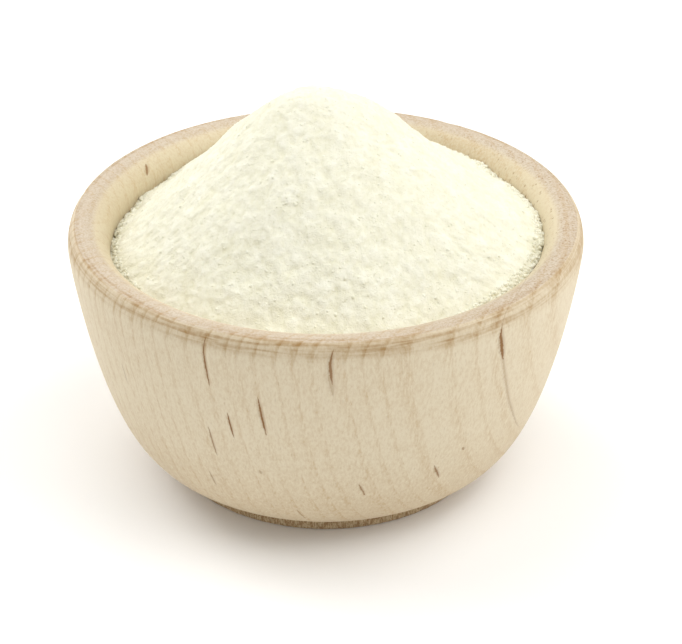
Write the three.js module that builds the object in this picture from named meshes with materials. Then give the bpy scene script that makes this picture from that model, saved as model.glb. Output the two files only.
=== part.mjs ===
// Small turned wooden bowl, filled with a heap of milk powder that stands well above its rim.
// Millimetres, +Z up. The origin is the centre of the foot's underside.
// The bowl is one revolved solid. The powder is one solid that fills the bowl to just off its
// wall and rises to an uneven, clumpy heap.

import * as THREE from 'three';

// Foot and outside of the bowl
const FOOT_RADIUS = 26.1;
const FOOT_HEIGHT = 3.2;
const FOOT_CHAMFER = 0.4;
const BOWL_RADIUS = 40.0;
const SHOULDER_HEIGHT = 38.6;
const BELLY_FULLNESS = 0.41;
const BELLY_CLOSING = 1.2;

// Rim: a rounded outer edge, a narrow flat and a soft inner lip
const RIM_HEIGHT = 41.9;
const RIM_EDGE_RADIUS = 38.5;
const LIP_TOP_RADIUS = 37.6;
const LIP_END_HEIGHT = 37.2;

// Hollow of the bowl
const HOLLOW_RADIUS = 33.6;
const HOLLOW_FLOOR = 7.0;
const HOLLOW_SQUARENESS = 2.4;

// Powder: a rounded cone, a little steeper in front, flatter to the right, with two shallow
// dents in its back flanks
const WALL_GAP = 0.3;
const HEAP_TOP = 62.0;
const HEAP_TOP_X = -1.5;
const HEAP_ROUNDING = 6.4;
const HEAP_SLOPE = 0.87;
const FRONT_STEEPER = 0.06;
const RIGHT_FLATTER = 0.09;
const HEAP_DENTS = [
  { x: 22, y: 12, depth: 2.4, spread: 7.8 },
  { x: -25, y: 11, depth: 2.1, spread: 6.7 },
];

// Clumps in the powder's surface, from coarse to fine
const CLUMPS = [
  { size: 7.5, height: 0.5 },
  { size: 3.6, height: 0.42 },
  { size: 1.9, height: 0.34 },
];
const CLUMP_SEED = 41;
const CLUMP_EDGE_FADE = 12;

// Fineness of the faceted surfaces
const BOWL_SIDES = 96;
const BELLY_STEPS = 10;
const ROUNDING_STEPS = 4;
const HOLLOW_STEPS = 8;
const HEAP_RINGS = 31;
const WALL_RINGS = 4;
const WALL_RINGS_END = 31.0;
const UNDERSIDE_SIDES = [96, 96, 72, 48, 24];
const CONTACT_SEARCH_STEPS = 30;

const mix = (from, to, share) => from + (to - from) * share;

// Outside radius of the belly, from the foot (share 0) to the shoulder (share 1)
function bellyRadius(share) {
  const rise = 1 - (1 - share) ** BELLY_CLOSING;
  return mix(FOOT_RADIUS, BOWL_RADIUS, rise ** BELLY_FULLNESS);
}

// Radius of the bowl's inner wall at a height, drawn in by a gap.
// Above LIP_END_HEIGHT it is the lip's quarter ellipse, below it a squared-off ellipse.
function hollowRadius(height, gap = 0) {
  if (height > LIP_END_HEIGHT) {
    const rise = (height - LIP_END_HEIGHT) / (RIM_HEIGHT - LIP_END_HEIGHT + gap);
    const reach = LIP_TOP_RADIUS - HOLLOW_RADIUS + gap;
    return LIP_TOP_RADIUS - reach * Math.sqrt(1 - rise ** 2);
  }
  const fall = (LIP_END_HEIGHT - height) / (LIP_END_HEIGHT - HOLLOW_FLOOR - gap);
  return (HOLLOW_RADIUS - gap) * (1 - fall ** HOLLOW_SQUARENESS) ** (1 / HOLLOW_SQUARENESS);
}

// Point of the hollow's squared-off ellipse at an angle below its widest ring
function hollowPoint(angle, gap = 0) {
  const power = 2 / HOLLOW_SQUARENESS;
  const radius = (HOLLOW_RADIUS - gap) * Math.cos(angle) ** power;
  const depth = (LIP_END_HEIGHT - HOLLOW_FLOOR - gap) * Math.sin(angle) ** power;
  return new THREE.Vector2(radius, LIP_END_HEIGHT - depth);
}

function bowlProfile() {
  const points = [
    new THREE.Vector2(0, 0),
    new THREE.Vector2(FOOT_RADIUS - FOOT_CHAMFER, 0),
    new THREE.Vector2(FOOT_RADIUS, FOOT_CHAMFER),
  ];
  // Belly: steps bunch up towards the foot, where it turns in most
  for (let step = 0; step <= BELLY_STEPS; step += 1) {
    const share = (step / BELLY_STEPS) ** (1 / BELLY_FULLNESS);
    points.push(new THREE.Vector2(bellyRadius(share), mix(FOOT_HEIGHT, SHOULDER_HEIGHT, share)));
  }
  // Rounded outer edge of the rim
  for (let step = 1; step <= ROUNDING_STEPS; step += 1) {
    const angle = (Math.PI / 2) * (step / ROUNDING_STEPS);
    const radius = RIM_EDGE_RADIUS + (BOWL_RADIUS - RIM_EDGE_RADIUS) * Math.cos(angle);
    const height = SHOULDER_HEIGHT + (RIM_HEIGHT - SHOULDER_HEIGHT) * Math.sin(angle);
    points.push(new THREE.Vector2(radius, height));
  }
  // Flat of the rim, then the inner lip
  for (let step = 0; step <= ROUNDING_STEPS; step += 1) {
    const angle = (Math.PI / 2) * (step / ROUNDING_STEPS);
    const radius = LIP_TOP_RADIUS - (LIP_TOP_RADIUS - HOLLOW_RADIUS) * Math.sin(angle);
    const height = LIP_END_HEIGHT + (RIM_HEIGHT - LIP_END_HEIGHT) * Math.cos(angle);
    points.push(new THREE.Vector2(radius, height));
  }
  // Hollow, down to its middle
  for (let step = 1; step < HOLLOW_STEPS; step += 1) {
    points.push(hollowPoint((Math.PI / 2) * (step / HOLLOW_STEPS)));
  }
  points.push(new THREE.Vector2(0, HOLLOW_FLOOR));
  return points;
}

function bowlGeometry() {
  const geometry = new THREE.LatheGeometry(bowlProfile(), BOWL_SIDES);
  geometry.rotateX(Math.PI / 2);
  return geometry;
}

// Height of the heap above the foot, before its clumps
function heapHeight(x, y) {
  const east = x - HEAP_TOP_X;
  const distance = Math.hypot(east, y);
  const towards = distance > 0 ? 1 / distance : 0;
  const slope = HEAP_SLOPE - (FRONT_STEEPER * y + RIGHT_FLATTER * east) * towards;
  let height = HEAP_TOP - slope * (Math.hypot(distance, HEAP_ROUNDING) - HEAP_ROUNDING);
  for (const dent of HEAP_DENTS) {
    const away = Math.hypot(x - dent.x, y - dent.y) / dent.spread;
    height -= dent.depth * Math.exp(-0.5 * away ** 2);
  }
  return height;
}

// Repeatable random number from -1 to 1 for a point of a square lattice
function latticeValue(column, row, seed) {
  let mixed = Math.imul(column, 374761393) + Math.imul(row, 668265263) + Math.imul(seed, 974711);
  mixed = Math.imul(mixed ^ (mixed >>> 13), 1274126177);
  mixed ^= mixed >>> 16;
  return ((mixed >>> 0) / 2147483647.5) - 1;
}

// Lattice values, blended smoothly between the four nearest points
function smoothNoise(x, y, seed) {
  const column = Math.floor(x);
  const row = Math.floor(y);
  const across = THREE.MathUtils.smoothstep(x - column, 0, 1);
  const along = THREE.MathUtils.smoothstep(y - row, 0, 1);
  const near = mix(latticeValue(column, row, seed), latticeValue(column + 1, row, seed), across);
  const far = mix(
    latticeValue(column, row + 1, seed),
    latticeValue(column + 1, row + 1, seed),
    across,
  );
  return mix(near, far, along);
}

// Height of the clumps at a place: the layers of noise, added up
function clumpHeight(x, y) {
  let height = 0;
  CLUMPS.forEach((clump, layer) => {
    height += clump.height * smoothNoise(x / clump.size, y / clump.size, CLUMP_SEED + layer);
  });
  return height;
}

// Where the heap meets the bowl's wall in one direction, found by halving the height interval
function contactPoint(angle) {
  let low = HOLLOW_FLOOR + WALL_GAP;
  let high = RIM_HEIGHT;
  for (let step = 0; step < CONTACT_SEARCH_STEPS; step += 1) {
    const middle = (low + high) / 2;
    const radius = hollowRadius(middle, WALL_GAP);
    if (heapHeight(radius * Math.cos(angle), radius * Math.sin(angle)) > middle) {
      low = middle;
    } else {
      high = middle;
    }
  }
  const radius = hollowRadius(low, WALL_GAP);
  return new THREE.Vector3(radius * Math.cos(angle), radius * Math.sin(angle), low);
}

// A ring of points made by a function of the angle about the bowl's axis
function ring(sides, pointAt) {
  return Array.from({ length: sides }, (_, side) => pointAt((2 * Math.PI * side) / sides));
}

// Rings of the powder's skin, from the heap's top out to the wall and down to the hollow's middle
function powderRings() {
  const top = new THREE.Vector3(HEAP_TOP_X, 0, heapHeight(HEAP_TOP_X, 0) + clumpHeight(HEAP_TOP_X, 0));
  const rings = [[top]];
  for (let index = 1; index <= HEAP_RINGS; index += 1) {
    const share = index / HEAP_RINGS;
    const relief = 1 - share ** CLUMP_EDGE_FADE;
    rings.push(ring(6 * index, (angle) => {
      const point = contactPoint(angle);
      point.x = mix(HEAP_TOP_X, point.x, share);
      point.y *= share;
      point.z = heapHeight(point.x, point.y) + relief * clumpHeight(point.x, point.y);
      return point;
    }));
  }
  for (let index = 1; index <= WALL_RINGS; index += 1) {
    rings.push(ring(BOWL_SIDES, (angle) => {
      const height = mix(contactPoint(angle).z, WALL_RINGS_END, index / WALL_RINGS);
      const radius = hollowRadius(height, WALL_GAP);
      return new THREE.Vector3(radius * Math.cos(angle), radius * Math.sin(angle), height);
    }));
  }
  const lowestWallAngle = Math.asin(
    ((LIP_END_HEIGHT - WALL_RINGS_END) / (LIP_END_HEIGHT - HOLLOW_FLOOR - WALL_GAP))
      ** (HOLLOW_SQUARENESS / 2),
  );
  UNDERSIDE_SIDES.forEach((sides, index) => {
    const share = (index + 1) / (UNDERSIDE_SIDES.length + 1);
    const section = hollowPoint(mix(lowestWallAngle, Math.PI / 2, share), WALL_GAP);
    rings.push(ring(sides, (angle) => (
      new THREE.Vector3(section.x * Math.cos(angle), section.x * Math.sin(angle), section.y)
    )));
  });
  rings.push([new THREE.Vector3(0, 0, HOLLOW_FLOOR + WALL_GAP)]);
  return rings;
}

// Closed skin over a stack of rings that may differ in their number of points.
// Between two rings the triangles step round whichever ring lags behind.
function skinGeometry(rings) {
  const positions = rings.flat().flatMap((point) => point.toArray());
  const index = [];
  let first = 0;
  for (let level = 0; level + 1 < rings.length; level += 1) {
    const upper = rings[level].length;
    const lower = rings[level + 1].length;
    const upperSteps = upper > 1 ? upper : 0;
    const lowerSteps = lower > 1 ? lower : 0;
    let i = 0;
    let j = 0;
    while (i < upperSteps || j < lowerSteps) {
      const here = first + (i % upper);
      const below = first + upper + (j % lower);
      const upperLags = j >= lowerSteps || (i < upperSteps && (i + 0.5) * lower < (j + 0.5) * upper);
      if (upperLags) {
        i += 1;
        index.push(here, below, first + (i % upper));
      } else {
        j += 1;
        index.push(here, below, first + upper + (j % lower));
      }
    }
    first += upper;
  }
  const geometry = new THREE.BufferGeometry();
  geometry.setAttribute('position', new THREE.Float32BufferAttribute(positions, 3));
  geometry.setIndex(index);
  geometry.computeVertexNormals();
  return geometry;
}

const woodMaterial = new THREE.MeshStandardMaterial({ color: 0xd8c7a8, roughness: 0.65, metalness: 0 });
const powderMaterial = new THREE.MeshStandardMaterial({ color: 0xfaf7e0, roughness: 0.95, metalness: 0 });

const bowl = new THREE.Mesh(bowlGeometry(), woodMaterial);
bowl.name = 'bowl';

const powder = new THREE.Mesh(skinGeometry(powderRings()), powderMaterial);
powder.name = 'powder';

const filledBowl = new THREE.Group();
filledBowl.add(bowl, powder);

export default filledBowl;
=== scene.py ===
"""A small turned wooden bowl, heaped with milk powder, in a plain white studio.

The bowl is one outline carried round the Z axis, in a solid wood whose growth rings stand round a
pith beside the bowl, so the grain runs up the wall and ends on the rim and foot. The powder is one
closed surface with clumps and grains in its relief, and loose grains lie half buried in it.
"""

import math
from collections import namedtuple

import bpy
import numpy as np
from bpy.props import FloatProperty, FloatVectorProperty, IntProperty, PointerProperty
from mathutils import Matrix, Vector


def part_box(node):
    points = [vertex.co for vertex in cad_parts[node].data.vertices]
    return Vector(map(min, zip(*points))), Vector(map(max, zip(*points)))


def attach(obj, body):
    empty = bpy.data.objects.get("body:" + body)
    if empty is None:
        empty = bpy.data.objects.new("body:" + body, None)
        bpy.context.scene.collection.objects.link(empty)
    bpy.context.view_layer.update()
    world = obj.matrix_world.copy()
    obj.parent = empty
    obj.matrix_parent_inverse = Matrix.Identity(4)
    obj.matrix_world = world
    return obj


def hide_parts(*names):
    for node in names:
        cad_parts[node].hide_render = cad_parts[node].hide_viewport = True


bl_info = {
    "name": "Bowl of Milk Powder",
    "version": (1, 0, 0),
    "blender": (4, 5, 0),
    "location": "View3D > Sidebar > Powder Bowl",
    "description": "Makes a turned wooden bowl heaped with milk powder, its finishes and a studio",
    "category": "Add Mesh",
}

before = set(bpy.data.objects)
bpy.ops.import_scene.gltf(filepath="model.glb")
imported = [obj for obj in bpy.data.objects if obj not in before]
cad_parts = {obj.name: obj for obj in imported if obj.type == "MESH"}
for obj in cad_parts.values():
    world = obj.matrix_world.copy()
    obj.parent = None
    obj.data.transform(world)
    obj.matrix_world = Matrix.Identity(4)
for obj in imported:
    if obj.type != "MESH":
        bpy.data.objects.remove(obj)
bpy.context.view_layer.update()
BOWL_LOW, BOWL_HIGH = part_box("bowl")
POWDER_LOW, POWDER_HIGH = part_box("powder")

MM = 0.001
BOWL_RADIUS = BOWL_HIGH[0]
RIM_HEIGHT = BOWL_HIGH[2]

# The tree's pith runs upright beside the bowl, and the growth rings are circles round it
PITH = (-45.0, 3.0)

# A dark streak of gum lies in one growth ring, so it shows where that ring cuts the wall.
# Sizes in millimetres: the ring's radius, the streak's middle height, half its length and width.
# Lean is how many millimetres further out it lies for each millimetre up.
Streak = namedtuple(
    "Streak", "ring height half_length half_width strength side lean", defaults=(0.0,),
)
FRONT, BACK = -1.0, 1.0
STREAKS = (
    Streak(48.1, 36.9, 4.4, 0.16, 0.95, FRONT),
    Streak(49.8, 26.0, 2.6, 0.17, 1.00, FRONT),
    Streak(54.3, 28.8, 3.8, 0.19, 1.00, FRONT),
    Streak(46.3, 21.8, 3.1, 0.16, 0.75, FRONT),
    Streak(43.8, 13.0, 1.7, 0.14, 0.60, FRONT),
    Streak(31.4, 27.6, 2.0, 0.13, 0.40, FRONT),
    Streak(62.9, 38.2, 3.0, 0.22, 0.90, FRONT),
    Streak(62.8, 36.6, 3.4, 0.36, 0.35, FRONT),
    Streak(78.0, 36.6, 3.4, 0.18, 1.00, FRONT),
    Streak(78.0, 29.0, 15.0, 0.13, 0.35, FRONT),
    Streak(70.5, 14.8, 1.8, 0.13, 0.85, FRONT),
    Streak(63.0, 13.9, 1.5, 0.13, 0.80, FRONT),
    Streak(54.3, 7.6, 1.5, 0.13, 0.50, FRONT),
    Streak(51.9, 17.2, 0.4, 0.24, 0.40, FRONT),
    Streak(73.3, 18.1, 0.4, 0.16, 0.60, FRONT),
    Streak(21.65, 40.2, 0.75, 0.42, 0.85, BACK, 0.58),
    Streak(36.0, 24.0, 3.0, 0.20, 0.70, BACK),
    Streak(52.5, 31.0, 4.6, 0.17, 0.80, BACK),
    Streak(59.0, 17.5, 2.2, 0.15, 0.65, BACK),
    Streak(66.4, 28.0, 3.4, 0.16, 0.55, BACK),
    Streak(73.8, 35.5, 2.6, 0.24, 0.80, BACK),
)

# Dents in the heap's flanks, in metres: place, depth and spread. A depth below zero is a lump.
Dent = namedtuple("Dent", "x y depth spread")
HEAP_DENTS = (
    Dent(22.0 * MM, 12.0 * MM, 2.4 * MM, 7.8 * MM),
    Dent(-25.0 * MM, 11.0 * MM, 2.1 * MM, 6.7 * MM),
    Dent(31.2 * MM, -9.8 * MM, -0.6 * MM, 0.9 * MM),
    Dent(31.9 * MM, -7.8 * MM, 0.7 * MM, 0.7 * MM),
    Dent(31.8 * MM, -5.6 * MM, -0.5 * MM, 0.8 * MM),
)

# Loose grains on the powder: how many, their sizes in metres, the share of each that is sunk in,
# and where they start as a share of the way from the heap's top to the wall
Grains = namedtuple("Grains", "name count smallest largest sunk start")
LOOSE_GRAINS = (
    Grains("fine_grains", 5000, 0.26 * MM, 0.42 * MM, 0.78, 0.0),
    Grains("coarse_grains", 1800, 0.45 * MM, 0.90 * MM, 0.84, 0.0),
    Grains("edge_grains", 3400, 0.35 * MM, 0.95 * MM, 0.62, 0.955),
)

# Rows of points down the rim's inner lip and down the hollow
LIP_STEPS = 17
HOLLOW_STEPS = 15

# Soft lights round the bowl: direction from the front (right is 90) and height in degrees, and
# share of the power
SOFT_LIGHTS = (
    ("right_low", 90, 20, 0.11),
    ("left_back_low", 225, 20, 0.20),
    ("left_front_low", 305, 20, 0.045),
    ("right_front_high", 68, 48, 0.12),
    ("right_back_high", 112, 48, 0.15),
    ("left_back_high", 248, 48, 0.15),
    ("top_right", 45, 72, 0.105),
    ("top_left", 225, 72, 0.115),
)

# Small knocks in the rounded edge of the rim: direction round the bowl, depth and spread
Knock = namedtuple("Knock", "azimuth depth spread")
RIM_KNOCKS = (
    Knock(math.radians(-77), 0.16 * MM, 0.7 * MM),
    Knock(math.radians(-101), 0.12 * MM, 0.6 * MM),
    Knock(math.radians(148), 0.14 * MM, 0.8 * MM),
)


def distance_property(name, description, default):
    """A length that a user may change."""
    return FloatProperty(
        name=name, description=description, default=default, min=0.0, precision=5,
        unit="LENGTH", subtype="DISTANCE",
    )


def number_property(name, description, default, **limits):
    """A plain number that a user may change."""
    return FloatProperty(name=name, description=description, default=default, **limits)


def colour_property(name, description, default):
    """A colour that a user may change, given as it looks on screen and kept as linear light."""
    linear = [((value + 0.055) / 1.055) ** 2.4 for value in default]
    return FloatVectorProperty(
        name=name, description=description, default=linear, min=0.0, max=1.0, size=3,
        subtype="COLOR",
    )


class PowderBowlWood(bpy.types.PropertyGroup):
    """Sizes and colours of the turned bowl."""

    foot_radius: distance_property("Foot radius", "Outside radius of the foot", 26.1 * MM)
    foot_height: distance_property("Foot height", "Where the belly leaves the foot", 3.2 * MM)
    foot_rounding: distance_property("Foot rounding", "Radius of the foot's lower edge", 0.4 * MM)
    shoulder_height: distance_property("Shoulder height", "Where rounding starts", 38.6 * MM)
    belly_fullness: number_property("Belly fullness", "Lower swells quicker", 0.41, min=0.1)
    belly_closing: number_property("Belly closing", "Softness of the shoulder", 1.2, min=1.0)
    rim_edge_radius: distance_property("Rim edge radius", "Where rounding meets flat", 38.5 * MM)
    rim_groove: distance_property("Rim groove", "Depth of the fine turned line there", 0.07 * MM)
    lip_top_radius: distance_property("Lip top radius", "Where the inner lip starts", 37.6 * MM)
    lip_end_height: distance_property("Lip end height", "Where the hollow starts", 37.2 * MM)
    hollow_radius: distance_property("Hollow radius", "Widest radius of the hollow", 33.6 * MM)
    hollow_floor: distance_property("Hollow floor", "Height of the hollow's floor", 7.0 * MM)
    hollow_squareness: number_property("Hollow squareness", "2 is an ellipse", 2.4, min=2.0)
    sides: IntProperty(name="Sides", description="Steps round the bowl", default=640, min=32)
    pale: colour_property("Pale wood", "Wood between the growth rings", (0.852, 0.804, 0.702))
    ring: colour_property("Ring wood", "Darker wood at a ring's end", (0.755, 0.655, 0.510))
    end_grain: colour_property("End grain", "Wood cut across, on the rim", (0.785, 0.742, 0.678))
    inside: colour_property("Inner wall", "Warmer wood of the inner wall", (0.815, 0.765, 0.650))
    stain: colour_property("Stain", "Darker wood on the rounded rim", (0.630, 0.500, 0.315))
    streak: colour_property("Streak", "Gum streaks in the rings", (0.535, 0.385, 0.220))
    # The foot's darker colour is partly painted shade under the belly
    foot: colour_property("Foot", "Rougher wood of the foot's side", (0.790, 0.710, 0.570))


class PowderBowlPowder(bpy.types.PropertyGroup):
    """Sizes and colours of the heap of powder and its grains."""

    top: distance_property("Heap top", "Height of the rounded top", 62.0 * MM)
    top_x: FloatProperty(
        name="Top to the right", description="How far the top stands right of the bowl's axis",
        default=-1.5 * MM, precision=5, unit="LENGTH", subtype="DISTANCE",
    )
    rounding: distance_property("Rounding", "How far the top's rounding reaches", 6.4 * MM)
    slope: number_property("Slope", "Steepness of the straight flank", 0.87)
    front_steeper: number_property("Front steeper", "Added slope towards the front", 0.06)
    right_flatter: number_property("Right flatter", "Slope taken off towards the right", 0.09)
    cells: IntProperty(name="Cells", description="Cells across the grid", default=296, min=16)
    tone: colour_property("Powder", "Dry powder", (0.940, 0.932, 0.862))
    # Deeper powder colour, for random mottling and for painted shade in the hollows between grains
    shade: colour_property("Powder in hollows", "Powder between clumps", (0.893, 0.880, 0.775))


class PowderBowlStudio(bpy.types.PropertyGroup):
    """The plain floor, the lights and the camera."""

    floor_tone: colour_property("Floor", "Plain white floor", (0.975, 0.972, 0.965))
    surround: number_property("Surround", "Strength of the even white light", 0.5, min=0.0)
    light_power: number_property("Light power", "Of all soft lights", 10.0, unit="POWER")
    light_distance: distance_property("Light distance", "From the bowl's middle", 0.8)
    light_size: distance_property("Light size", "Side of each square soft light", 0.4)
    camera_place: FloatVectorProperty(
        name="Camera place", description="Where the camera stands",
        default=(2.34 * MM, -261.3 * MM, 177.9 * MM), size=3, precision=5,
        unit="LENGTH", subtype="XYZ",
    )
    camera_pitch: number_property(
        "Camera pitch", "How steeply the camera looks down", math.radians(30.83),
        unit="ROTATION", subtype="ANGLE",
    )
    lens: number_property("Lens", "Focal length", 100.0, min=1.0, unit="CAMERA")


def blend(start, end, share):
    """start + (end - start) * share."""
    return start + (end - start) * share


def smooth_step(value, low, high):
    """3t^2 - 2t^3, where t runs from 0 at low to 1 at high and is held outside."""
    share = np.clip((value - low) / (high - low), 0.0, 1.0)
    return share * share * (3.0 - 2.0 * share)


def lattice_random(cells, seed):
    """A repeatable number from 0 to 1 for each lattice cell, whose indices fill the last axis.

    Each index is multiplied by its own large odd number, and the bits are mixed by shifts and
    products of 32-bit whole numbers.
    """
    factors = np.array([374761393, 668265263, 2147483647], dtype=np.uint32)[: cells.shape[-1]]
    mixed = (cells.astype(np.int64).astype(np.uint32) * factors).sum(axis=-1, dtype=np.uint32)
    mixed = mixed + np.uint32((seed * 2654435761) % 2**32)
    for shift, factor in ((15, 2246822519), (13, 3266489917), (16, 668265263)):
        mixed = (mixed ^ (mixed >> np.uint32(shift))) * np.uint32(factor)
    mixed = mixed ^ (mixed >> np.uint32(15))
    return mixed.astype(np.float64) / 2.0**32


def smooth_noise(points, size, seed):
    """Noise from -1 to 1: random values on a lattice of that size, blended between corners."""
    scaled = points / size
    corner = np.floor(scaled)
    share = scaled - corner
    share = share * share * (3.0 - 2.0 * share)
    axes = points.shape[-1]
    total = np.zeros(points.shape[:-1])
    for offset in np.ndindex(*(2,) * axes):
        step = np.array(offset)
        weight = np.where(step == 1, share, 1.0 - share).prod(axis=-1)
        total += weight * lattice_random(corner + step, seed)
    return 2.0 * total - 1.0


def cell_bumps(points, size, seed, fullness=1.0):
    """Rounded grains as a height from 0 to 1: every lattice cell holds one ball at a random place.

    A ball of radius r whose middle is d away adds sqrt(r^2 - d^2), and the highest ball counts.
    fullness is the share of cells that hold a ball.
    """
    scaled = points / size
    home = np.floor(scaled)
    highest = np.zeros(points.shape[:-1])
    for offset in np.ndindex(3, 3, 3):
        cell = home + (np.array(offset) - 1)
        middle = cell + np.stack([lattice_random(cell, seed + axis) for axis in range(3)], axis=-1)
        radius = 0.55 + 0.4 * lattice_random(cell, seed + 3)
        held = lattice_random(cell, seed + 4) < fullness
        away = ((scaled - middle) ** 2).sum(axis=-1)
        rise = np.sqrt(np.clip(radius**2 - away, 0.0, None))
        highest = np.maximum(highest, np.where(held, rise, 0.0))
    return highest


def grid_quads(rows, columns, closed):
    """Quads between the points of a grid, counted row by row.

    They run along the row first, then to the next row. A closed grid joins its last column to its
    first.
    """
    across = np.arange(columns if closed else columns - 1)
    row = np.arange(rows - 1)[:, None] * columns
    here = row + across
    beside = row + (across + 1) % columns
    return np.stack([here, beside, beside + columns, here + columns], axis=-1).reshape(-1, 4)


def fan_triangles(ring, middle):
    """Triangles from each step of a ring of point numbers to one middle point."""
    return np.stack([ring, np.full_like(ring, middle), np.roll(ring, -1)], axis=-1)


def make_piece(name, points, faces, material):
    """A smooth mesh object at the origin, from an array of points and a list of face arrays."""
    mesh = bpy.data.meshes.new(name)
    mesh.vertices.add(len(points))
    mesh.vertices.foreach_set("co", np.ascontiguousarray(points, dtype=np.float32).ravel())
    corners = np.concatenate([group.ravel() for group in faces])
    sizes = np.concatenate([np.full(len(group), group.shape[1]) for group in faces])
    mesh.loops.add(len(corners))
    mesh.loops.foreach_set("vertex_index", corners.astype(np.int32))
    mesh.polygons.add(len(sizes))
    mesh.polygons.foreach_set("loop_start", (np.cumsum(sizes) - sizes).astype(np.int32))
    mesh.polygons.foreach_set("use_smooth", np.ones(len(sizes), dtype=bool))
    mesh.update(calc_edges=True)
    if mesh.validate():
        raise RuntimeError(f"{name} has faulty faces")
    mesh.materials.append(material)
    piece = bpy.data.objects.new(name, mesh)
    bpy.context.scene.collection.objects.link(piece)
    return piece


def mark_points(piece, name, values):
    """Keeps a number for each point of the piece, for its material to read."""
    attribute = piece.data.attributes.new(name, "FLOAT", "POINT")
    attribute.data.foreach_set("value", values.astype(np.float32))


class Value:
    """A shader value that the signs + - * and / act on, each through a Math node."""

    def __init__(self, tree, socket):
        self.tree = tree
        self.socket = socket

    def __add__(self, other):
        return calculate(self.tree, "ADD", self, other)

    def __sub__(self, other):
        return calculate(self.tree, "SUBTRACT", self, other)

    def __rsub__(self, other):
        return calculate(self.tree, "SUBTRACT", other, self)

    def __mul__(self, other):
        return calculate(self.tree, "MULTIPLY", self, other)

    def __truediv__(self, other):
        return calculate(self.tree, "DIVIDE", self, other)

    def held(self):
        """The value held between 0 and 1."""
        return calculate(self.tree, "ADD", self, 0.0, clamp=True)


def feed(tree, value, socket):
    """Links a value or another node's socket to the socket, or sets it to a plain number."""
    if isinstance(value, Value):
        value = value.socket
    if isinstance(value, bpy.types.NodeSocket):
        tree.links.new(value, socket)
    else:
        socket.default_value = value


def add_node(tree, kind, values=None, **settings):
    """A shader node of that kind, with its settings and with inputs set to values or linked."""
    node = tree.nodes.new(kind)
    for name, value in settings.items():
        setattr(node, name, value)
    for name, value in (values or {}).items():
        feed(tree, value, node.inputs[name])
    return node


def output(tree, node, name=0):
    """One of a node's outputs, as a value to work on."""
    return Value(tree, node.outputs[name])


def calculate(tree, operation, *values, clamp=False):
    """The result of a Math node on one to three values."""
    inputs = dict(enumerate(values))
    node = add_node(tree, "ShaderNodeMath", inputs, operation=operation, use_clamp=clamp)
    return output(tree, node)


def ramp(value, low, high, start=0.0, end=1.0):
    """A value that runs smoothly from start at low to end at high, and is held outside."""
    inputs = {"Value": value, "From Min": low, "From Max": high, "To Min": start, "To Max": end}
    node = add_node(value.tree, "ShaderNodeMapRange", inputs, interpolation_type="SMOOTHSTEP")
    return output(value.tree, node, "Result")


def mix_colours(share, first, second):
    """The two colours mixed by a share from 0 to 1."""
    node = add_node(share.tree, "ShaderNodeMix", data_type="RGBA")
    feed(share.tree, share, node.inputs[0])
    for index, colour in ((6, first), (7, second)):
        if not isinstance(colour, bpy.types.NodeSocket):
            colour = (*colour, 1.0)
        feed(share.tree, colour, node.inputs[index])
    return node.outputs[2]


def stretch(tree, vector, x, y, z):
    """The vector with each part multiplied by its own number."""
    node = add_node(tree, "ShaderNodeVectorMath", {0: vector, 1: (x, y, z)}, operation="MULTIPLY")
    return node.outputs[0]


def split(tree, vector):
    """The three parts of a vector, as values."""
    node = add_node(tree, "ShaderNodeSeparateXYZ", {0: vector})
    return [output(tree, node, name) for name in "XYZ"]


def noise(tree, vector, scale, detail=2.0, roughness=0.5):
    """Noise from 0 to 1 at a vector."""
    values = {"Vector": vector, "Scale": scale, "Detail": detail, "Roughness": roughness}
    return output(tree, add_node(tree, "ShaderNodeTexNoise", values), "Fac")


def point_value(tree, name):
    """The number that mark_points kept for each point of the piece."""
    return output(tree, add_node(tree, "ShaderNodeAttribute", attribute_name=name), "Fac")


def object_millimetres(tree):
    """The place on the piece, in millimetres."""
    place = tree.nodes.new("ShaderNodeTexCoord").outputs["Object"]
    return stretch(tree, place, 1000.0, 1000.0, 1000.0)


def new_group(name, inputs, outputs):
    """A shader node group, its inputs as values by name, and the sockets of its output node.

    An input without a default number is a vector, and every output is a number.
    """
    group = bpy.data.node_groups.new(name, "ShaderNodeTree")
    for socket_name, default in inputs.items():
        kind = "NodeSocketVector" if default is None else "NodeSocketFloat"
        socket = group.interface.new_socket(socket_name, in_out="INPUT", socket_type=kind)
        if default is not None:
            socket.default_value = default
    for socket_name in outputs:
        group.interface.new_socket(socket_name, in_out="OUTPUT", socket_type="NodeSocketFloat")
    node = group.nodes.new("NodeGroupInput")
    given = {socket_name: output(group, node, socket_name) for socket_name in inputs}
    return group, given, group.nodes.new("NodeGroupOutput").inputs


def place_group(tree, group, values):
    """The group placed in a material, with its inputs set or linked."""
    return add_node(tree, "ShaderNodeGroup", values, node_tree=group)


def mottle_group():
    """Soft uneven tone in two sizes, from -1 to 1: used by the wood and by the powder."""
    group, given, result = new_group(
        "Mottle", {"Place": None, "Size": 8.0, "Fine Share": 0.35}, ["Tone"],
    )
    share = given["Fine Share"]
    scale = calculate(group, "DIVIDE", 1.0, given["Size"])
    broad = noise(group, given["Place"], scale, 2.0)
    fine = noise(group, given["Place"], scale * 5.3, 3.0)
    total = fine * share + broad * (1.0 - share)
    feed(group, total * 4.0 - 2.0, result["Tone"])
    return group


def mottled(tree, mottle, place, size, fine_share):
    """The Mottle group's tone at a place."""
    values = {"Place": place, "Size": size, "Fine Share": fine_share}
    return output(tree, place_group(tree, mottle, values), "Tone")


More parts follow.
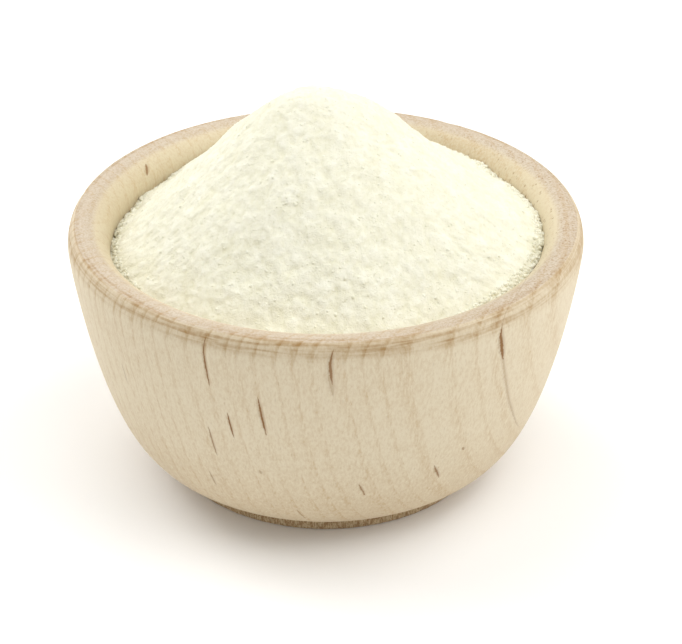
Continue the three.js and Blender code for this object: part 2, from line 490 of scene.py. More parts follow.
def growth_ring_group():
    """Distance from the pith in millimetres, and how far the wood there is a ring's dark end.

    The distance wavers a little up the trunk. Its remainder by the uneven ring width rises slowly
    through each year's pale wood, peaks at the ring's end and drops off at once.
    """
    group, given, result = new_group(
        "Growth Rings", {"Place": None, "Ring Width": 2.3}, ["Distance", "Late Wood"],
    )
    east, north, _ = split(group, given["Place"])
    east = east - PITH[0]
    north = north - PITH[1]
    radius = calculate(group, "SQRT", east * east + north * north)
    waver = noise(group, stretch(group, given["Place"], 0.09, 0.09, 0.025), 1.0, 2.0)
    distance = waver * 0.8 + (radius - 0.4)
    along = {"W": distance / 9.0, "Scale": 1.0}
    widths = add_node(group, "ShaderNodeTexNoise", along, noise_dimensions="1D")
    years = output(group, widths, "Fac") * 2.2 + distance / given["Ring Width"]
    through = calculate(group, "FRACT", years)
    feed(group, distance, result["Distance"])
    late = ramp(through, 0.50, 0.92) * ramp(through, 0.92, 1.0, 1.0, 0.0)
    feed(group, late, result["Late Wood"])
    return group


def fibre_group():
    """Fine fibres and pores that run up the trunk: lines on a wall, dots on end grain.

    Fibres are noise drawn out along the trunk. Pores are cells drawn out the same way, dark near
    their middles. Pore Size is the share of a cell that its pore fills.
    """
    group, given, result = new_group(
        "Fibres", {"Place": None, "Pore Size": 0.26}, ["Fibre", "Grain", "Pore"],
    )
    place = given["Place"]
    size = given["Pore Size"]
    fibre = noise(group, stretch(group, place, 1.0, 1.0, 0.055), 2.5, 4.0, 0.62)
    grain = noise(group, stretch(group, place, 1.0, 1.0, 0.38), 3.0, 3.0, 0.8)
    drawn_out = {"Vector": stretch(group, place, 1.0, 1.0, 0.22), "Scale": 1.9}
    cells = add_node(group, "ShaderNodeTexVoronoi", drawn_out)
    chance = add_node(group, "ShaderNodeSeparateColor", {"Color": cells.outputs["Color"]})
    dot = ramp(output(group, cells, "Distance"), size * 0.4, size, 1.0, 0.0)
    pore = dot * ramp(output(group, chance), 0.45, 0.95)
    for name, value in (("Fibre", fibre), ("Grain", grain), ("Pore", pore)):
        feed(group, value, result[name])
    return group


# Inputs of the Gum Streak group that a Streak sets, in the order of its numbers
STREAK_INPUTS = {
    "Ring": 50.0, "Middle": 20.0, "Half Length": 3.0, "Half Width": 0.2, "Strength": 1.0,
    "Side": -1.0, "Lean": 0.0,
}


def streak_group():
    """One gum streak, from 0 to 1: a thin leaf in one growth ring that tapers to both its ends.

    With a as the height from its middle over half its length, the half width is scaled by
    sqrt(1 - a^2), and the mask falls off across the ring's distance at that half width, with a
    faint halo out to 2.4 times as far. The ring's distance grows by Lean for each millimetre
    above the middle.
    """
    group, given, result = new_group(
        "Gum Streak", {"Distance": 0.0, "Height": 0.0, "Depth": 0.0, **STREAK_INPUTS}, ["Mask"],
    )
    above = given["Height"] - given["Middle"]
    along = above / given["Half Length"]
    edge = calculate(group, "SQRT", (1.0 - along * along).held())
    ring = above * given["Lean"] + given["Ring"]
    away = calculate(group, "ABSOLUTE", given["Distance"] - ring) / given["Half Width"]
    core = ramp(edge - away, 0.0, 0.55)
    halo = ramp(edge * 2.4 - away, 0.0, 2.0, 0.0, 0.45)
    there = calculate(group, "GREATER_THAN", given["Depth"] * given["Side"], 0.0)
    mask = calculate(group, "MAXIMUM", core, halo) * there * given["Strength"]
    feed(group, mask, result["Mask"])
    return group


def streak_masks(tree, distance, height, depth):
    """All gum streaks together: the darkest of them at each place."""
    group = streak_group()
    place = {"Distance": distance, "Height": height, "Depth": depth}
    total = None
    for streak in STREAKS:
        node = place_group(tree, group, {**place, **dict(zip(STREAK_INPUTS, streak))})
        mask = output(tree, node, "Mask")
        total = mask if total is None else calculate(tree, "MAXIMUM", total, mask)
    return total


def new_material(name):
    """An empty node material with a Principled shader, and its node tree."""
    material = bpy.data.materials.new(name)
    material.use_nodes = True
    tree = material.node_tree
    tree.nodes.clear()
    shader = tree.nodes.new("ShaderNodeBsdfPrincipled")
    output_node = tree.nodes.new("ShaderNodeOutputMaterial")
    tree.links.new(shader.outputs[0], output_node.inputs["Surface"])
    return material, tree, shader


def add_bump(tree, shader, height, strength, distance):
    """Fine bumps on the shader's face, no higher than the distance."""
    values = {"Height": height, "Strength": strength, "Distance": distance}
    bump = add_node(tree, "ShaderNodeBump", values)
    feed(tree, bump.outputs["Normal"], shader.inputs["Normal"])


def wood_zones(wood, from_axis, height, end_grain, outside):
    """Masks from 0 to 1: the rim's flat, its rounded edge, the line between them, the foot."""
    rim = RIM_HEIGHT / MM
    foot_top = wood.foot_height / MM
    turned_line = wood.rim_edge_radius / MM - 0.15
    above = calculate(height.tree, "GREATER_THAN", height, 0.5 * rim)
    flat = ramp(end_grain, 0.80, 0.97) * above
    rounded = ramp(height, 37.8, 40.2) * outside * ramp(from_axis, 37.7, 39.0, 0.3, 1.0)
    away = calculate(height.tree, "ABSOLUTE", from_axis - turned_line)
    near_top = calculate(height.tree, "GREATER_THAN", height, rim - 1.5)
    line = ramp(away, 0.05, 0.36, 1.0, 0.0) * near_top
    foot = ramp(height, foot_top + 0.3, foot_top - 0.3)
    return flat, rounded, line, foot


def wood_material(wood, mottle):
    """Bare pale hardwood, turned along the grain.

    The wall shows growth rings and fibres on edge. The End Grain attribute, 1 where a face looks
    along the fibres, brings out pores and rings on rim and foot. Gum streaks follow the rings.
    """
    material, tree, shader = new_material("turned_wood")
    place = object_millimetres(tree)
    x, y, z = split(tree, place)
    level = {0: stretch(tree, place, 1.0, 1.0, 0.0)}
    length = add_node(tree, "ShaderNodeVectorMath", level, operation="LENGTH")
    from_axis = output(tree, length, "Value")
    end_grain = point_value(tree, "End Grain")
    inside = point_value(tree, "Inside")
    outside = 1.0 - inside
    flat, rounded, line, foot = wood_zones(wood, from_axis, z, end_grain, outside)

    rings = place_group(tree, growth_ring_group(), {"Place": place})
    late = output(tree, rings, "Late Wood")
    right = ramp(x, 5.0, 38.0)
    bold = calculate(tree, "MAXIMUM", flat, inside) * right
    values = {"Place": place, "Pore Size": bold * 0.16 + 0.24}
    fibres = place_group(tree, fibre_group(), values)
    fibre, grain, pore = (output(tree, fibres, name) for name in ("Fibre", "Grain", "Pore"))
    tone = mottled(tree, mottle, place, 11.0, 0.35)
    patch = mottled(tree, mottle, place, 3.2, 0.5)

    # Wall: faint broken ring lines over fine grain, and painted shade that darkens the outer wall
    # towards the foot, under the belly
    share = late * ramp(fibre, 0.34, 0.60) * 0.30 + fibre * 0.45
    share = share + (grain * 1.7 - 0.94) + tone * 0.10
    # Painted shade: the outer wall darkens towards the foot
    share = share + ramp(z, 3.0, 24.0, 0.30, 0.0) * outside
    share = (share + patch * 0.07).held()
    colour = mix_colours(share, wood.pale, wood.ring)

    # Inner wall: warmer, with uneven tone, torn grain to the right, and painted shade that darkens
    # the back right, where the wall is in shade
    # Painted shade: darker towards the back right, over the torn grain
    torn_grain_and_shade = grain * 2.6 - 1.45 + ramp(y, 0.0, 28.0, -0.55, 0.85)
    torn_grain_and_shade = inside * right * torn_grain_and_shade
    warm_share = (torn_grain_and_shade * 0.45 + share + patch * 0.10).held()
    warm = mix_colours(warm_share, wood.inside, wood.ring)
    colour = mix_colours(inside * 0.9, colour, warm)

    # Rim's flat: greyer end grain, with the fine grain still over it
    speck = (grain * 3.2 - 1.35).held() * (right * 0.22 + 0.40)
    flat_tone = mix_colours(share * 0.9, wood.end_grain, wood.ring)
    flat_tone = mix_colours(speck, flat_tone, wood.streak)
    colour = mix_colours(flat * 0.85, colour, flat_tone)

    # Rounded edge: stained brown along fine turned lines and at ring lines, fading downwards
    uneven = ramp(patch, -0.8, 0.9, 0.2, 1.0)
    profile = add_node(tree, "ShaderNodeCombineXYZ", {"X": from_axis, "Y": z, "Z": x * 0.05})
    turned = ramp(noise(tree, profile.outputs[0], 1.8, 2.0), 0.40, 0.62, 0.35, 1.0)
    depth = uneven * 0.55 + ramp(right, 0.0, 1.0, 0.30, 0.12)
    upper = ramp(right * 1.7 + z, 38.8, 41.0) * turned * depth
    stained = (late * uneven * 0.34 + upper).held() * rounded
    colour = mix_colours(stained, colour, wood.stain)
    # Painted shade: a dark line in the turned groove between the flat and the rounded edge, darker
    # towards the left
    painted_groove_shade = line * ramp(patch, -0.3, 1.1, 0.0, 0.55) * ramp(x, -20.0, 25.0, 1.0, 0.2)
    colour = mix_colours(painted_groove_shade, colour, wood.streak)

    # Foot: rough sawn side, its darker colour partly painted shade under the belly
    sawn = mix_colours(ramp(grain, 0.38, 0.60, 0.0, 0.8), wood.foot, wood.streak)
    colour = mix_colours(foot, colour, sawn)

    # Pores, then gum streaks with slightly ragged edges
    colour = mix_colours(pore * (bold * 0.42 + 0.16), colour, wood.streak)
    ragged = grain * 0.30 + output(tree, rings, "Distance") - 0.15
    marks = streak_masks(tree, ragged, z, y)
    colour = mix_colours(marks, colour, wood.streak)
    feed(tree, colour, shader.inputs["Base Color"])
    feed(tree, fibre * 0.12 + 0.60, shader.inputs["Roughness"])
    shader.inputs["Specular IOR Level"].default_value = 0.30
    add_bump(tree, shader, grain - pore * 0.8 - marks * 0.4, 0.35, 0.05 * MM)
    return material


def powder_material(powder, mottle):
    """Dry milk powder: matt and warm white, a little deeper in patches, with a fine rough face."""
    material, tree, shader = new_material("dry_powder")
    place = object_millimetres(tree)
    tone = mottled(tree, mottle, place, 2.6, 0.5)
    # Painted shade: the Hollow share darkens and yellows powder between grains, over random mottle
    share = (tone * 0.5 + point_value(tree, "Hollow")).held()
    colour = mix_colours(share, powder.tone, powder.shade)
    feed(tree, colour, shader.inputs["Base Color"])
    shader.inputs["Roughness"].default_value = 0.95
    shader.inputs["Specular IOR Level"].default_value = 0.15
    add_bump(tree, shader, noise(tree, place, 3.2, 3.0, 0.8), 0.9, 0.17 * MM)
    return material


def shared_mottle():
    """The one Mottle group, made when it is first asked for."""
    return bpy.data.node_groups.get("Mottle") or mottle_group()


def shared_powder_material(powder):
    """The one powder material, made when it is first asked for."""
    return bpy.data.materials.get("dry_powder") or powder_material(powder, shared_mottle())


def hollow_radius(wood, height):
    """Radius of the inner wall at each height.

    Above the lip's end it is a quarter ellipse out to the rim's flat, and below it a squared-off
    ellipse down to the floor.
    """
    rise = np.clip((height - wood.lip_end_height) / (RIM_HEIGHT - wood.lip_end_height), 0.0, 1.0)
    lip = wood.lip_top_radius - (wood.lip_top_radius - wood.hollow_radius) * np.sqrt(1.0 - rise**2)
    depth = wood.lip_end_height - wood.hollow_floor
    fall = np.clip((wood.lip_end_height - height) / depth, 0.0, 1.0)
    power = wood.hollow_squareness
    hollow = wood.hollow_radius * (1.0 - fall**power) ** (1.0 / power)
    return np.where(height > wood.lip_end_height, lip, hollow)


def hollow_curve(wood, angle):
    """Radius and height on the hollow's squared-off ellipse, by angle below its widest ring."""
    power = 2.0 / wood.hollow_squareness
    radius = wood.hollow_radius * np.clip(np.cos(angle), 0.0, None) ** power
    height = blend(wood.lip_end_height, wood.hollow_floor, np.sin(angle) ** power)
    return radius, height


def bowl_outline(wood):
    """Radius and height along the bowl's outline, from under the foot round into the hollow.

    Flat underside, quarter circle at the foot's edge, upright side, then the belly, which grows as
    foot + (rim - foot) * (1 - (1 - share)^closing)^fullness, a quarter ellipse over the rim's
    outer edge, the flat, a quarter ellipse for the lip and the squared-off ellipse of the hollow.
    """
    quarter = math.pi / 2.0
    inner_foot = wood.foot_radius - wood.foot_rounding
    underside = np.linspace(0.03, 1.0, 14) * inner_foot
    corner = np.linspace(0.0, quarter, 5)[1:]
    side = np.linspace(wood.foot_rounding, wood.foot_height, 7)[1:-1]
    share = np.linspace(0.0, 1.0, 72) ** (1.0 / wood.belly_fullness)
    belly = (1.0 - (1.0 - share) ** wood.belly_closing) ** wood.belly_fullness
    edge = np.linspace(0.0, quarter, 15)[1:-1]
    # The flat takes small steps across the fine turned line at the rounding's end
    flat = np.linspace(wood.rim_edge_radius, wood.lip_top_radius, 9)
    lip = np.linspace(0.0, quarter, LIP_STEPS + 1)[1:]
    depth = np.linspace(0.0, 0.98, HOLLOW_STEPS + 1)[1:] * quarter
    hollow, hollow_height = hollow_curve(wood, depth)
    radius = np.concatenate([
        underside,
        inner_foot + wood.foot_rounding * np.sin(corner),
        np.full_like(side, wood.foot_radius),
        blend(wood.foot_radius, BOWL_RADIUS, belly),
        wood.rim_edge_radius + (BOWL_RADIUS - wood.rim_edge_radius) * np.cos(edge),
        flat,
        wood.lip_top_radius - (wood.lip_top_radius - wood.hollow_radius) * np.sin(lip),
        hollow,
    ])
    height = np.concatenate([
        np.zeros_like(underside),
        wood.foot_rounding * (1.0 - np.cos(corner)),
        side,
        blend(wood.foot_height, wood.shoulder_height, share),
        wood.shoulder_height + (RIM_HEIGHT - wood.shoulder_height) * np.sin(edge),
        np.full_like(flat, RIM_HEIGHT),
        wood.lip_end_height + (RIM_HEIGHT - wood.lip_end_height) * np.cos(lip),
        hollow_height,
    ])
    line = wood.rim_edge_radius - 0.15 * MM
    spread = 0.16 * MM
    on_rim = height > wood.shoulder_height
    groove = wood.rim_groove * np.exp(-0.5 * ((radius - line) / spread) ** 2)
    return radius, height - np.where(on_rim, groove, 0.0)


def outline_normals(radius, height):
    """Outward direction along an outline: the step to the next point, turned a quarter right."""
    along = np.gradient(radius)
    up = np.gradient(height)
    length = np.hypot(along, up)
    return up / length, -along / length


def bowl_relief(wood, points, radius, height):
    """How far the bowl's surface sinks, in metres, at each point.

    Small knocks sit in the rim's rounded edge, and the foot's sawn face and side are rough.
    """
    azimuth = np.arctan2(points[..., 0], -points[..., 1])
    sink = np.zeros(points.shape[:-1])
    middle = blend(wood.shoulder_height, RIM_HEIGHT, 0.75)
    outside = radius > wood.rim_edge_radius - 0.2 * MM
    for knock in RIM_KNOCKS:
        along = (azimuth - knock.azimuth) * radius / knock.spread
        up = (height - middle) / (0.8 * knock.spread)
        sink += np.where(outside, knock.depth * np.exp(-0.5 * (along**2 + up**2)), 0.0)
    rough = smooth_noise(points * np.array([1.0, 1.0, 0.25]), 0.5 * MM, 7)
    foot = smooth_step(height, wood.foot_height, 0.6 * wood.foot_height)
    sink += foot * 0.05 * MM * (0.5 + 0.5 * rough)
    wave = smooth_noise(points, 9.0 * MM, 11)
    return sink + 0.02 * MM * (1.0 + wave)


def make_bowl(wood):
    """The bowl: its outline carried round the Z axis, closed by a point on it at each end."""
    radius, height = bowl_outline(wood)
    out, up = outline_normals(radius, height)
    turn = np.arange(wood.sides) * (2.0 * math.pi / wood.sides)
    ring = np.stack([np.cos(turn), np.sin(turn)], axis=-1)
    upright = np.repeat(height[:, None, None], wood.sides, axis=1)
    points = np.concatenate([radius[:, None, None] * ring, upright], axis=-1)
    normals = np.concatenate(
        [out[:, None, None] * ring, np.repeat(up[:, None, None], wood.sides, axis=1)], axis=-1,
    )
    sink = bowl_relief(wood, points, radius[:, None], height[:, None])
    resting = (height <= 0.0)[:, None, None]
    points = np.where(resting, points, points - sink[..., None] * normals)
    rows = len(radius)
    ends = np.array([[0.0, 0.0, 0.0], [0.0, 0.0, wood.hollow_floor]])
    points = np.concatenate([points.reshape(-1, 3), ends])
    first = np.arange(wood.sides)
    last = (rows - 1) * wood.sides + first
    faces = [
        grid_quads(rows, wood.sides, closed=True),
        fan_triangles(first, len(points) - 2),
        fan_triangles(last, len(points) - 1)[:, ::-1],
    ]
    piece = make_piece("turned_bowl", points, faces, wood_material(wood, shared_mottle()))
    lip_row = rows - LIP_STEPS - HOLLOW_STEPS
    inside = smooth_step(np.arange(rows), lip_row, lip_row + 6)
    mark_points(piece, "End Grain", np.append(np.repeat(np.abs(up), wood.sides), [1.0, 1.0]))
    mark_points(piece, "Inside", np.append(np.repeat(inside, wood.sides), [0.0, 1.0]))
    return piece


def heap_height(powder, x, y):
    """Height of the heap: top - slope * (sqrt(d^2 + rounding^2) - rounding), less its dents.

    d is the distance from the top, and the slope changes a little with direction.
    """
    east = x - powder.top_x
    away = np.hypot(east, y) + 1e-9
    slope = powder.slope - (powder.front_steeper * y + powder.right_flatter * east) / away
    height = powder.top - slope * (np.hypot(away, powder.rounding) - powder.rounding)
    for dent in HEAP_DENTS:
        distance = np.hypot(x - dent.x, y - dent.y) / dent.spread
        height = height - dent.depth * np.exp(-0.5 * distance**2)
    return height


def swelling(x, y):
    """Broad unevenness of the poured powder, from slumps down to lumps of clumps."""
    place = np.stack([x, y], axis=-1)
    total = 0.0
    for size, depth, seed in ((8.0, 0.42, 21), (3.6, 0.30, 22), (1.8, 0.17, 23), (0.9, 0.08, 24)):
        total = total + depth * MM * smooth_noise(place, size * MM, seed)
    return total


def poured_height(powder, x, y):
    """The heap with its broad unevenness h, kept softly under a limit just below the heap's top.

    The height is -soft * log(exp(-h / soft) + exp(-limit / soft)).
    """
    soft = 0.35 * MM
    height = heap_height(powder, x, y) + swelling(x, y)
    limit = POWDER_HIGH[2] - 0.35 * MM
    return -soft * np.logaddexp(-height / soft, -limit / soft)


def heap_normals(powder, x, y):
    """Directions straight out of the smooth heap, from its rise over a short step each way."""
    step = 0.2 * MM
    east = heap_height(powder, x + step, y) - heap_height(powder, x - step, y)
    north = heap_height(powder, x, y + step) - heap_height(powder, x, y - step)
    normals = np.stack([-east, -north, np.full_like(east, 2.0 * step)], axis=-1)
    return normals / np.linalg.norm(normals, axis=-1, keepdims=True)


def grain_relief(points):
    """Height of clumps and grains over the poured surface, in metres, from three sizes of ball."""
    clumps = cell_bumps(points, 1.9 * MM, 31, fullness=0.35)
    grains = cell_bumps(points, 1.05 * MM, 41, fullness=0.85)
    fine = cell_bumps(points, 0.70 * MM, 51, fullness=0.9)
    return (0.12 * clumps + 0.11 * grains + 0.13 * fine) * MM


def contact_heights(powder, wood, angle):
    """Height at which the powder meets the wall in each direction, by halving the interval."""
    low = np.full_like(angle, wood.hollow_floor)
    high = np.full_like(angle, RIM_HEIGHT)
    for _ in range(30):
        middle = 0.5 * (low + high)
        radius = hollow_radius(wood, middle)
        above = poured_height(powder, radius * np.cos(angle), radius * np.sin(angle)) > middle
        low = np.where(above, middle, low)
        high = np.where(above, high, middle)
    return low


def square_to_disc(a, b):
    """A square from -1 to 1 laid onto the unit disc with equal areas: share of the radius, angle.

    In the left and right quarters the share is a and the angle is (pi / 4) * (b / a), and in the
    other two the share is b and the angle is pi / 2 - (pi / 4) * (a / b). A negative share counts
    as the same distance the other way.
    """
    sideways = np.abs(a) > np.abs(b)
    safe_a = np.where(a == 0.0, 1.0, a)
    safe_b = np.where(b == 0.0, 1.0, b)
    share = np.where(sideways, a, b)
    quarter = math.pi / 4.0
    angle = np.where(sideways, quarter * b / safe_a, 2.0 * quarter - quarter * a / safe_b)
    return np.abs(share), np.mod(np.where(share < 0.0, angle + math.pi, angle), 2.0 * math.pi)


def skin_points(powder, x, y, fade):
    """Points of the powder's surface, and how far each lies in a hollow between grains, 0 to 1.

    A point is the poured height plus the grains along the heap's own normal. A grain of middle
    height counts 0.4 as a hollow, and one standard deviation deeper adds 0.14.
    """
    points = np.stack([x, y, poured_height(powder, x, y)], axis=-1)
    relief = grain_relief(points)
    # The powder's material paints this hollow share as shade between grains
    hollow = np.clip(0.4 - 0.14 * (relief - relief.mean()) / relief.std(), 0.0, 1.0)
    points = points + (relief * fade)[..., None] * heap_normals(powder, x, y)
    points[..., 2] = np.minimum(points[..., 2], POWDER_HIGH[2])
    return points, hollow


def edge_gaps(x, y, share):
    """How far the powder's edge has crumbled away from the wall, in metres.

    The notches are a few grains wide, reach in unevenly and are shallower to the right.
    """
    place = np.stack([x, y], axis=-1)
    notch = smooth_noise(place, 2.1 * MM, 61) + 0.5 * smooth_noise(place, 0.8 * MM, 62)
    depth = blend(1.80, 0.10, smooth_step(x, -20.0 * MM, 15.0 * MM)) * MM
    reach = share + 0.010 * smooth_noise(place, 0.9 * MM, 63)
    return depth * smooth_step(notch, -0.1, 0.4) * smooth_step(reach, 0.966, 0.984)


def make_heap(powder, wood):
    """The powder: a square grid laid over the heap as a disc, and a skirt down the wall."""
    cells = powder.cells
    spread = np.linspace(-1.0, 1.0, cells + 1)
    b, a = np.meshgrid(spread, spread, indexing="ij")
    share, angle = square_to_disc(a, b)
    around = np.linspace(0.0, 2.0 * math.pi, 1441)
    heights = contact_heights(powder, wood, around)
    reach = np.interp(angle, around, hollow_radius(wood, heights))
    x = blend(powder.top_x, reach * np.cos(angle), share)
    y = reach * np.sin(angle) * share
    points, hollow = skin_points(powder, x, y, smooth_step(share, 1.0, 0.985))
    points = points.reshape(-1, 3)
    points[:, 2] -= edge_gaps(x, y, share).reshape(-1)

    number = np.arange((cells + 1) ** 2).reshape(cells + 1, cells + 1)
    border = np.concatenate([number[0, :-1], number[:-1, -1], number[-1, :0:-1], number[:0:-1, 0]])
    turn = angle.reshape(-1)[border]
    top = points[border, 2]
    wall = []
    even_level = 30.0 * MM
    for step in (0.2, 0.5, 1.0):
        level = blend(top, even_level, step)
        radius = hollow_radius(wood, level)
        wall.append(np.stack([radius * np.cos(turn), radius * np.sin(turn), level], axis=-1))
    start = math.asin(
        ((wood.lip_end_height - even_level) / (wood.lip_end_height - wood.hollow_floor))
        ** (wood.hollow_squareness / 2.0)
    )
    for depth in np.linspace(start, 0.96 * math.pi / 2.0, 5)[1:]:
        radius, level = hollow_curve(wood, depth)
        height = np.full_like(turn, level)
        wall.append(np.stack([radius * np.cos(turn), radius * np.sin(turn), height], axis=-1))
    skirt = np.concatenate(wall)
    first = len(points)
    numbers = np.concatenate([border, first + np.arange(len(skirt))]).reshape(-1, len(border))
    quads = grid_quads(len(wall) + 1, len(border), closed=True)
    middle = first + len(skirt)
    points = np.concatenate([points, skirt, [[0.0, 0.0, wood.hollow_floor]]])
    faces = [
        grid_quads(cells + 1, cells + 1, closed=False),
        numbers.reshape(-1)[quads][:, ::-1],
        fan_triangles(numbers[-1], middle),
    ]
    piece = make_piece("powder_heap", points, faces, shared_powder_material(powder))
    # Hollow share for the painted shade between grains; the skirt takes a middle share
    mark_points(piece, "Hollow", np.append(hollow.reshape(-1), np.full(len(skirt) + 1, 0.5)))
    return piece


def icosahedron():
    """The 12 corners of an icosahedron of radius 1, and its 20 faces, seen from outside."""
    golden = (1.0 + math.sqrt(5.0)) / 2.0
    corners = np.array([
        (-1, golden, 0), (1, golden, 0), (-1, -golden, 0), (1, -golden, 0),
        (0, -1, golden), (0, 1, golden), (0, -1, -golden), (0, 1, -golden),
        (golden, 0, -1), (golden, 0, 1), (-golden, 0, -1), (-golden, 0, 1),
    ]) / math.hypot(1.0, golden)
    faces = np.array([
        (0, 11, 5), (0, 5, 1), (0, 1, 7), (0, 7, 10), (0, 10, 11),
        (1, 5, 9), (5, 11, 4), (11, 10, 2), (10, 7, 6), (7, 1, 8),
        (3, 9, 4), (3, 4, 2), (3, 2, 6), (3, 6, 8), (3, 8, 9),
        (4, 9, 5), (2, 4, 11), (6, 2, 10), (8, 6, 7), (9, 8, 1),
    ])
    return corners, faces


def random_turns(draw, count):
    """Random rotation matrices, from quaternions drawn evenly over all directions."""
    turns = draw.normal(size=(count, 4))
    w, x, y, z = (turns / np.linalg.norm(turns, axis=1, keepdims=True)).T
    return np.stack([
        np.stack([1 - 2 * (y * y + z * z), 2 * (x * y - z * w), 2 * (x * z + y * w)], axis=-1),
        np.stack([2 * (x * y + z * w), 1 - 2 * (x * x + z * z), 2 * (y * z - x * w)], axis=-1),
        np.stack([2 * (x * z - y * w), 2 * (y * z + x * w), 1 - 2 * (x * x + y * y)], axis=-1),
    ], axis=-2)


def scatter(name, places, sizes, draw, material):
    """Grains as one mesh: an uneven, randomly turned icosahedron of each size at each place."""
    corners, faces = icosahedron()
    count = len(places)
    uneven = corners * (1.0 + 0.22 * draw.uniform(-1.0, 1.0, size=(count, 12, 1)))
    uneven = uneven * draw.uniform(0.75, 1.15, size=(count, 1, 3))
    turned = np.einsum("nij,nkj->nki", random_turns(draw, count), uneven)
    points = places[:, None, :] + turned * (0.5 * sizes[:, None, None])
    numbers = faces[None] + 12 * np.arange(count)[:, None, None]
    piece = make_piece(name, points.reshape(-1, 3), [numbers.reshape(-1, 3)], material)
    mark_points(piece, "Hollow", np.repeat(draw.uniform(0.1, 0.6, size=count), 12))
    return piece


def places_on_heap(powder, wood, draw, kind, sizes):
    """Random places on the powder, even by area, and the sizes of the grains that fit there.

    Each grain is sunk by its kind's share of its size, and none stands above the heap's top.
    """
    share = np.sqrt(draw.uniform(kind.start**2, 0.998**2, kind.count))
    angle = draw.uniform(0.0, 2.0 * math.pi, kind.count)
    reach = hollow_radius(wood, contact_heights(powder, wood, angle))
    x = blend(powder.top_x, reach * np.cos(angle), share)
    y = reach * np.sin(angle) * share
    points, _ = skin_points(powder, x, y, np.ones(kind.count))
    points = points + ((0.5 - kind.sunk) * sizes)[:, None] * heap_normals(powder, x, y)
    low_enough = points[:, 2] + 0.7 * sizes < POWDER_HIGH[2]
    return points[low_enough], sizes[low_enough]


def finish_piece(piece):
    """The piece rides on the one body."""
    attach(piece, "root")


class POWDER_BOWL_OT_turn_bowl(bpy.types.Operator):
    """Make the turned wooden bowl."""

    bl_idname = "powder_bowl.turn_bowl"
    bl_label = "Turn Bowl"

    def execute(self, context):
        piece = make_bowl(context.scene.powder_bowl_wood)
        finish_piece(piece)
        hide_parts("bowl")
        return {"FINISHED"}


class POWDER_BOWL_OT_heap_powder(bpy.types.Operator):
    """Make the heap of powder that fills the bowl."""

    bl_idname = "powder_bowl.heap_powder"
    bl_label = "Heap Powder"

    def execute(self, context):
        scene = context.scene
        piece = make_heap(scene.powder_bowl_powder, scene.powder_bowl_wood)
        finish_piece(piece)
        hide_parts("powder")
        return {"FINISHED"}


class POWDER_BOWL_OT_scatter_crumbs(bpy.types.Operator):
    """Scatter loose grains over the powder, most of each grain sunk in."""

    bl_idname = "powder_bowl.scatter_crumbs"
    bl_label = "Scatter Crumbs"

    def execute(self, context):
        powder = context.scene.powder_bowl_powder
        wood = context.scene.powder_bowl_wood
        material = shared_powder_material(powder)
        draw = np.random.default_rng(5)
        for kind in LOOSE_GRAINS:
            sizes = blend(kind.smallest, kind.largest, draw.uniform(size=kind.count) ** 2)
            places, sizes = places_on_heap(powder, wood, draw, kind, sizes)
            finish_piece(scatter(kind.name, places, sizes, draw, material))
        return {"FINISHED"}


class POWDER_BOWL_OT_set_studio(bpy.types.Operator):
    """Set up the white floor, the soft lights and the camera."""

    bl_idname = "powder_bowl.set_studio"
    bl_label = "Set Studio"

    def execute(self, context):
        scene = context.scene
        studio = scene.powder_bowl_studio
        make_floor(studio)
        make_lights(studio)
        make_camera(studio)
        scene.view_settings.view_transform = "Standard"
        scene.view_settings.look = "None"
        return {"FINISHED"}


def make_floor(studio):
    """A plain white floor far wider than the picture."""
    material, tree, shader = new_material("studio_floor")
    shader.inputs["Base Color"].default_value = (*studio.floor_tone, 1.0)
    shader.inputs["Roughness"].default_value = 0.9
    shader.inputs["Specular IOR Level"].default_value = 0.1
    half = 3.0
    corners = half * np.array([[-1, -1, 0], [1, -1, 0], [1, 1, 0], [-1, 1, 0]])
    floor = make_piece("studio_floor", corners, [np.array([[0, 1, 2, 3]])], material)


def make_light(name, place, aim, size, power):
    """A square soft light at a place, turned to face its aim."""
    data = bpy.data.lights.new(name, "AREA")
    data.shape = "SQUARE"
    data.size = size
    data.energy = power
    light = bpy.data.objects.new(name, data)
    light.location = place
    direction = light.location - type(light.location)(aim)
    light.rotation_euler = direction.to_track_quat("Z", "Y").to_euler()
    bpy.context.scene.collection.objects.link(light)


def make_lights(studio):
    """Soft lights all round, as in a white tent, on one sphere about the bowl."""
    world = bpy.data.worlds.new("white_surround")
    world.use_nodes = True
    background = world.node_tree.nodes["Background"]
    background.inputs["Color"].default_value = (1.0, 1.0, 1.0, 1.0)
    background.inputs["Strength"].default_value = studio.surround
    bpy.context.scene.world = world
    centre = (0.0, 0.0, 20.0 * MM)
    for name, turn, rise, power in SOFT_LIGHTS:
        turn = math.radians(turn)
        rise = math.radians(rise)
        out = studio.light_distance * math.cos(rise)
        up = studio.light_distance * math.sin(rise)
        place = (out * math.sin(turn), -out * math.cos(turn), centre[2] + up)
        make_light(name, place, centre, studio.light_size, power * studio.light_power)


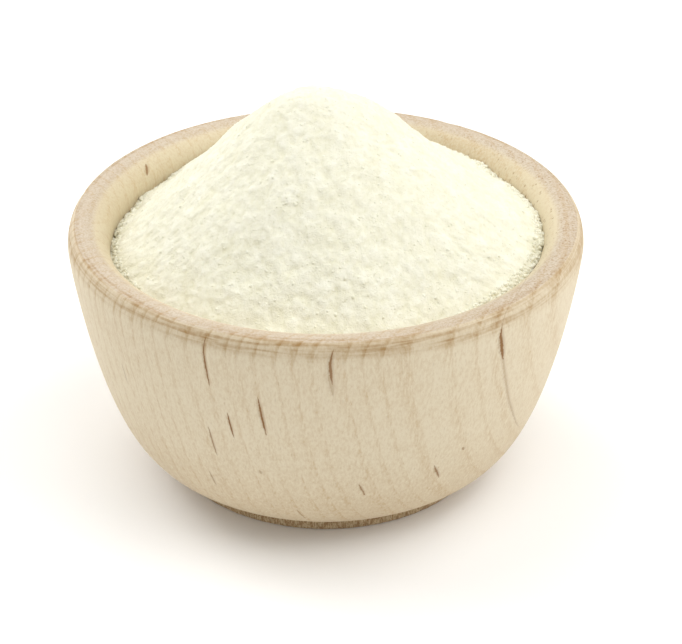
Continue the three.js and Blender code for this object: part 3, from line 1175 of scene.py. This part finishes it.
def make_camera(studio):
    """A long lens that looks down on the bowl from the front."""
    data = bpy.data.cameras.new("camera")
    data.lens = studio.lens
    data.sensor_width = 36.0
    data.clip_start = 0.01
    data.clip_end = 20.0
    camera = bpy.data.objects.new("camera", data)
    camera.location = studio.camera_place
    camera.rotation_euler = (math.pi / 2.0 - studio.camera_pitch, 0.0, 0.0)
    bpy.context.scene.collection.objects.link(camera)
    bpy.context.scene.camera = camera


class POWDER_BOWL_PT_panel(bpy.types.Panel):
    """Lists the steps that make the bowl of powder."""

    bl_idname = "POWDER_BOWL_PT_panel"
    bl_label = "Bowl of Milk Powder"
    bl_space_type = "VIEW_3D"
    bl_region_type = "UI"
    bl_category = "Powder Bowl"

    def draw(self, context):
        for operator in OPERATORS:
            self.layout.operator(operator.bl_idname)
        for name, group in SETTINGS:
            settings = getattr(context.scene, name)
            box = self.layout.box()
            for key in group.__annotations__:
                box.prop(settings, key)


OPERATORS = (
    POWDER_BOWL_OT_turn_bowl,
    POWDER_BOWL_OT_heap_powder,
    POWDER_BOWL_OT_scatter_crumbs,
    POWDER_BOWL_OT_set_studio,
)
SETTINGS = (
    ("powder_bowl_wood", PowderBowlWood),
    ("powder_bowl_powder", PowderBowlPowder),
    ("powder_bowl_studio", PowderBowlStudio),
)


def register():
    for name, group in SETTINGS:
        bpy.utils.register_class(group)
        setattr(bpy.types.Scene, name, PointerProperty(type=group))
    for operator in OPERATORS:
        bpy.utils.register_class(operator)
    bpy.utils.register_class(POWDER_BOWL_PT_panel)


def unregister():
    bpy.utils.unregister_class(POWDER_BOWL_PT_panel)
    for operator in reversed(OPERATORS):
        bpy.utils.unregister_class(operator)
    for name, group in reversed(SETTINGS):
        delattr(bpy.types.Scene, name)
        bpy.utils.unregister_class(group)


def main():
    register()
    bpy.ops.powder_bowl.turn_bowl()
    bpy.ops.powder_bowl.heap_powder()
    bpy.ops.powder_bowl.scatter_crumbs()
    bpy.ops.powder_bowl.set_studio()


if __name__ == "__main__":
    main()
